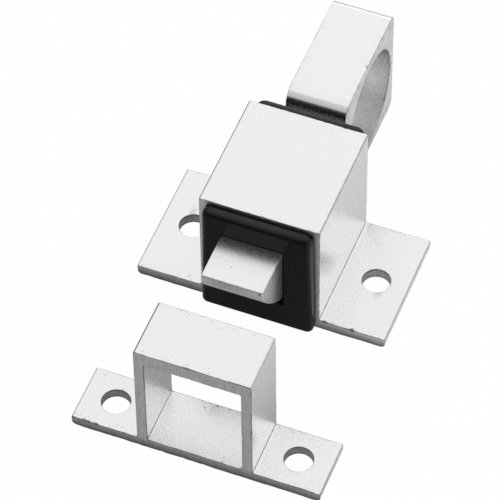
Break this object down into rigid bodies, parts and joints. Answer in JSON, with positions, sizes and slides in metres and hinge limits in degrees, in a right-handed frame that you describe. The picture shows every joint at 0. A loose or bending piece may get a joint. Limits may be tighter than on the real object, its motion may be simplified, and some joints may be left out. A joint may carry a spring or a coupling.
{
  "type": "spring door latch with keeper",
  "caption": "Spring latch with a bevelled sliding bolt, pull ring and plastic end caps in an aluminium housing, with its keeper.",
  "frame": {"origin": "midway between the housing's two screw holes, on the face that it is screwed down by", "axes": "+Z away from the door face, +Y towards the pull ring, so the bolt points along -Y, X along the flanges"},
  "size_m": [0.0511, 0.0943, 0.0282],
  "materials": {
    "aluminium": "bead blasted and clear anodised",
    "black_plastic": "moulded, satin",
    "steel": "bright drawn"
  },
  "bodies": {
    "housing": {"housing": "aluminium", "front_cap": "black_plastic", "rear_cap": "black_plastic", "stop_pin": "steel", "return_spring": "steel", "keeper": "aluminium"},
    "bolt": {"latch_bolt": "aluminium"}
  },
  "joints": [
    {"name": "bolt_slide", "type": "slide", "parent": "housing", "child": "bolt", "axis": [0, 1, 0], "range_m": [0, 0.00985], "stiffness_N_per_m": 850, "springref_m": -0.006, "deforming": ["return_spring"]}
  ]
}
